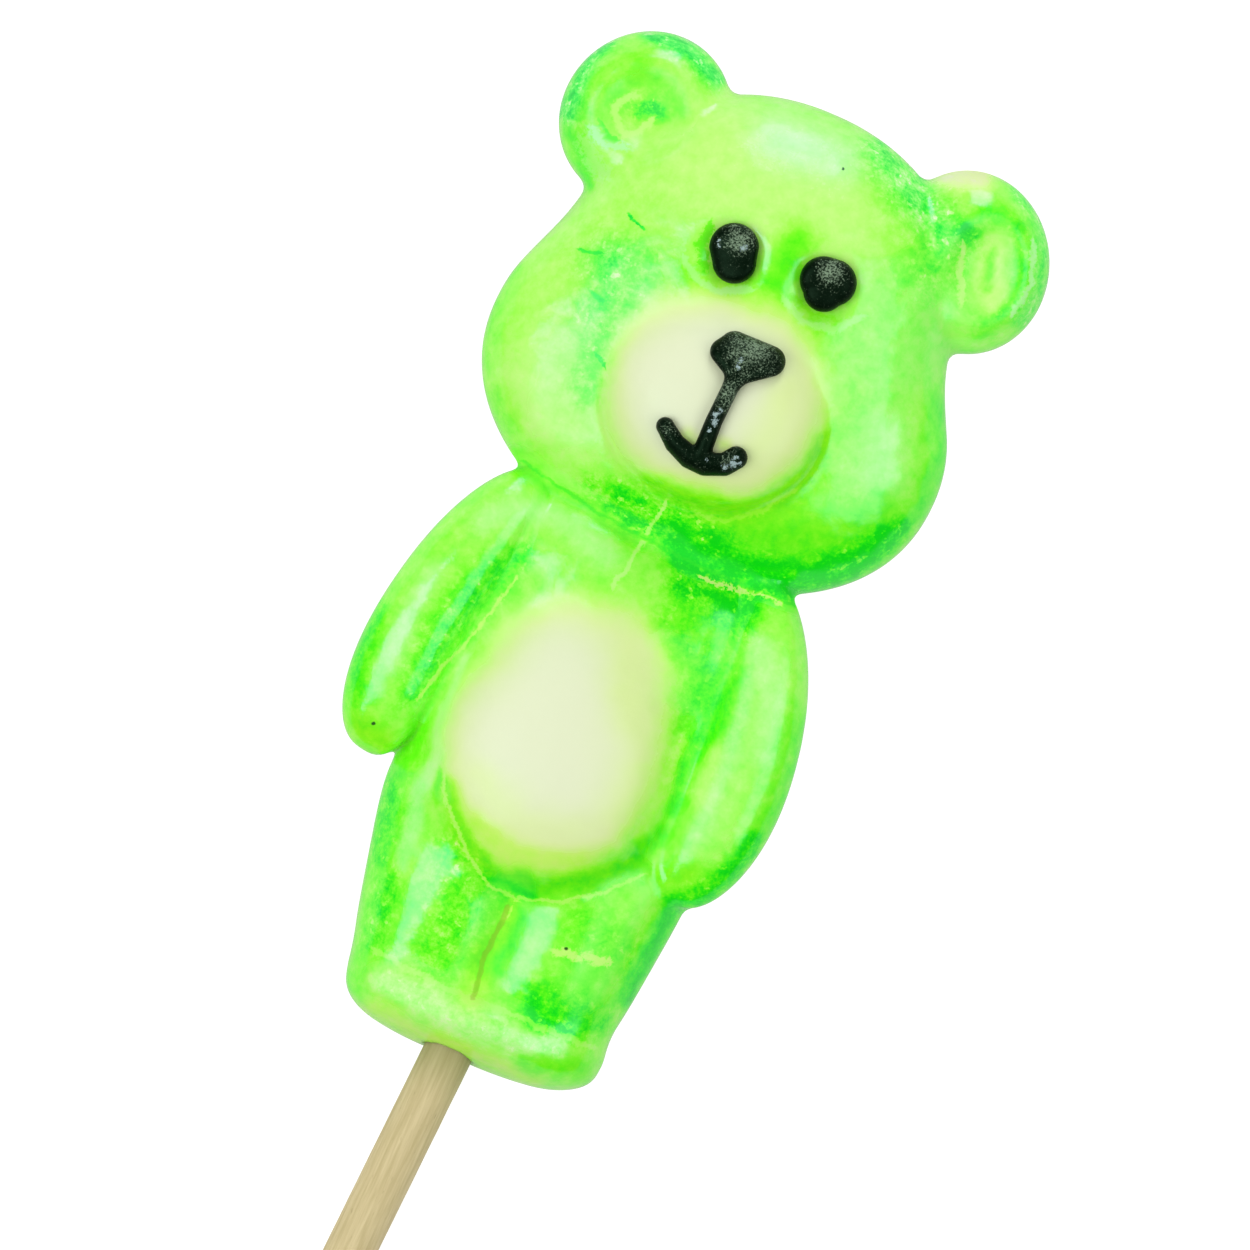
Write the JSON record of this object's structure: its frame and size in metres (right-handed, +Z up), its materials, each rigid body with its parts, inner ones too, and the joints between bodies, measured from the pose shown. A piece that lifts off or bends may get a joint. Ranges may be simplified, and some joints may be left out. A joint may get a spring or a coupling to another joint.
{
  "type": "bear lollipop",
  "caption": "Moulded hard-candy lollipop shaped as a standing teddy bear, with icing eyes, nose and mouth, on a slim wooden stick, lying flat on its back.",
  "frame": {"origin": "on the flat back, below the middle of the neck", "axes": "+Z up out of the flat back towards the bear's front, +Y along the bear towards the top of its head, +X to the right as seen from above"},
  "size_m": [0.0414, 0.1973, 0.0163],
  "materials": {
    "candy": "glossy cream hard candy, airbrushed lime green",
    "icing": "dried black icing with a soft sheen",
    "stick": "pale unvarnished wood with fine grain"
  },
  "bodies": {
    "root": {"candy_body": "candy", "eye_left": "icing", "eye_right": "icing", "nose_mouth": "icing", "stick": "stick"}
  },
  "joints": []
}
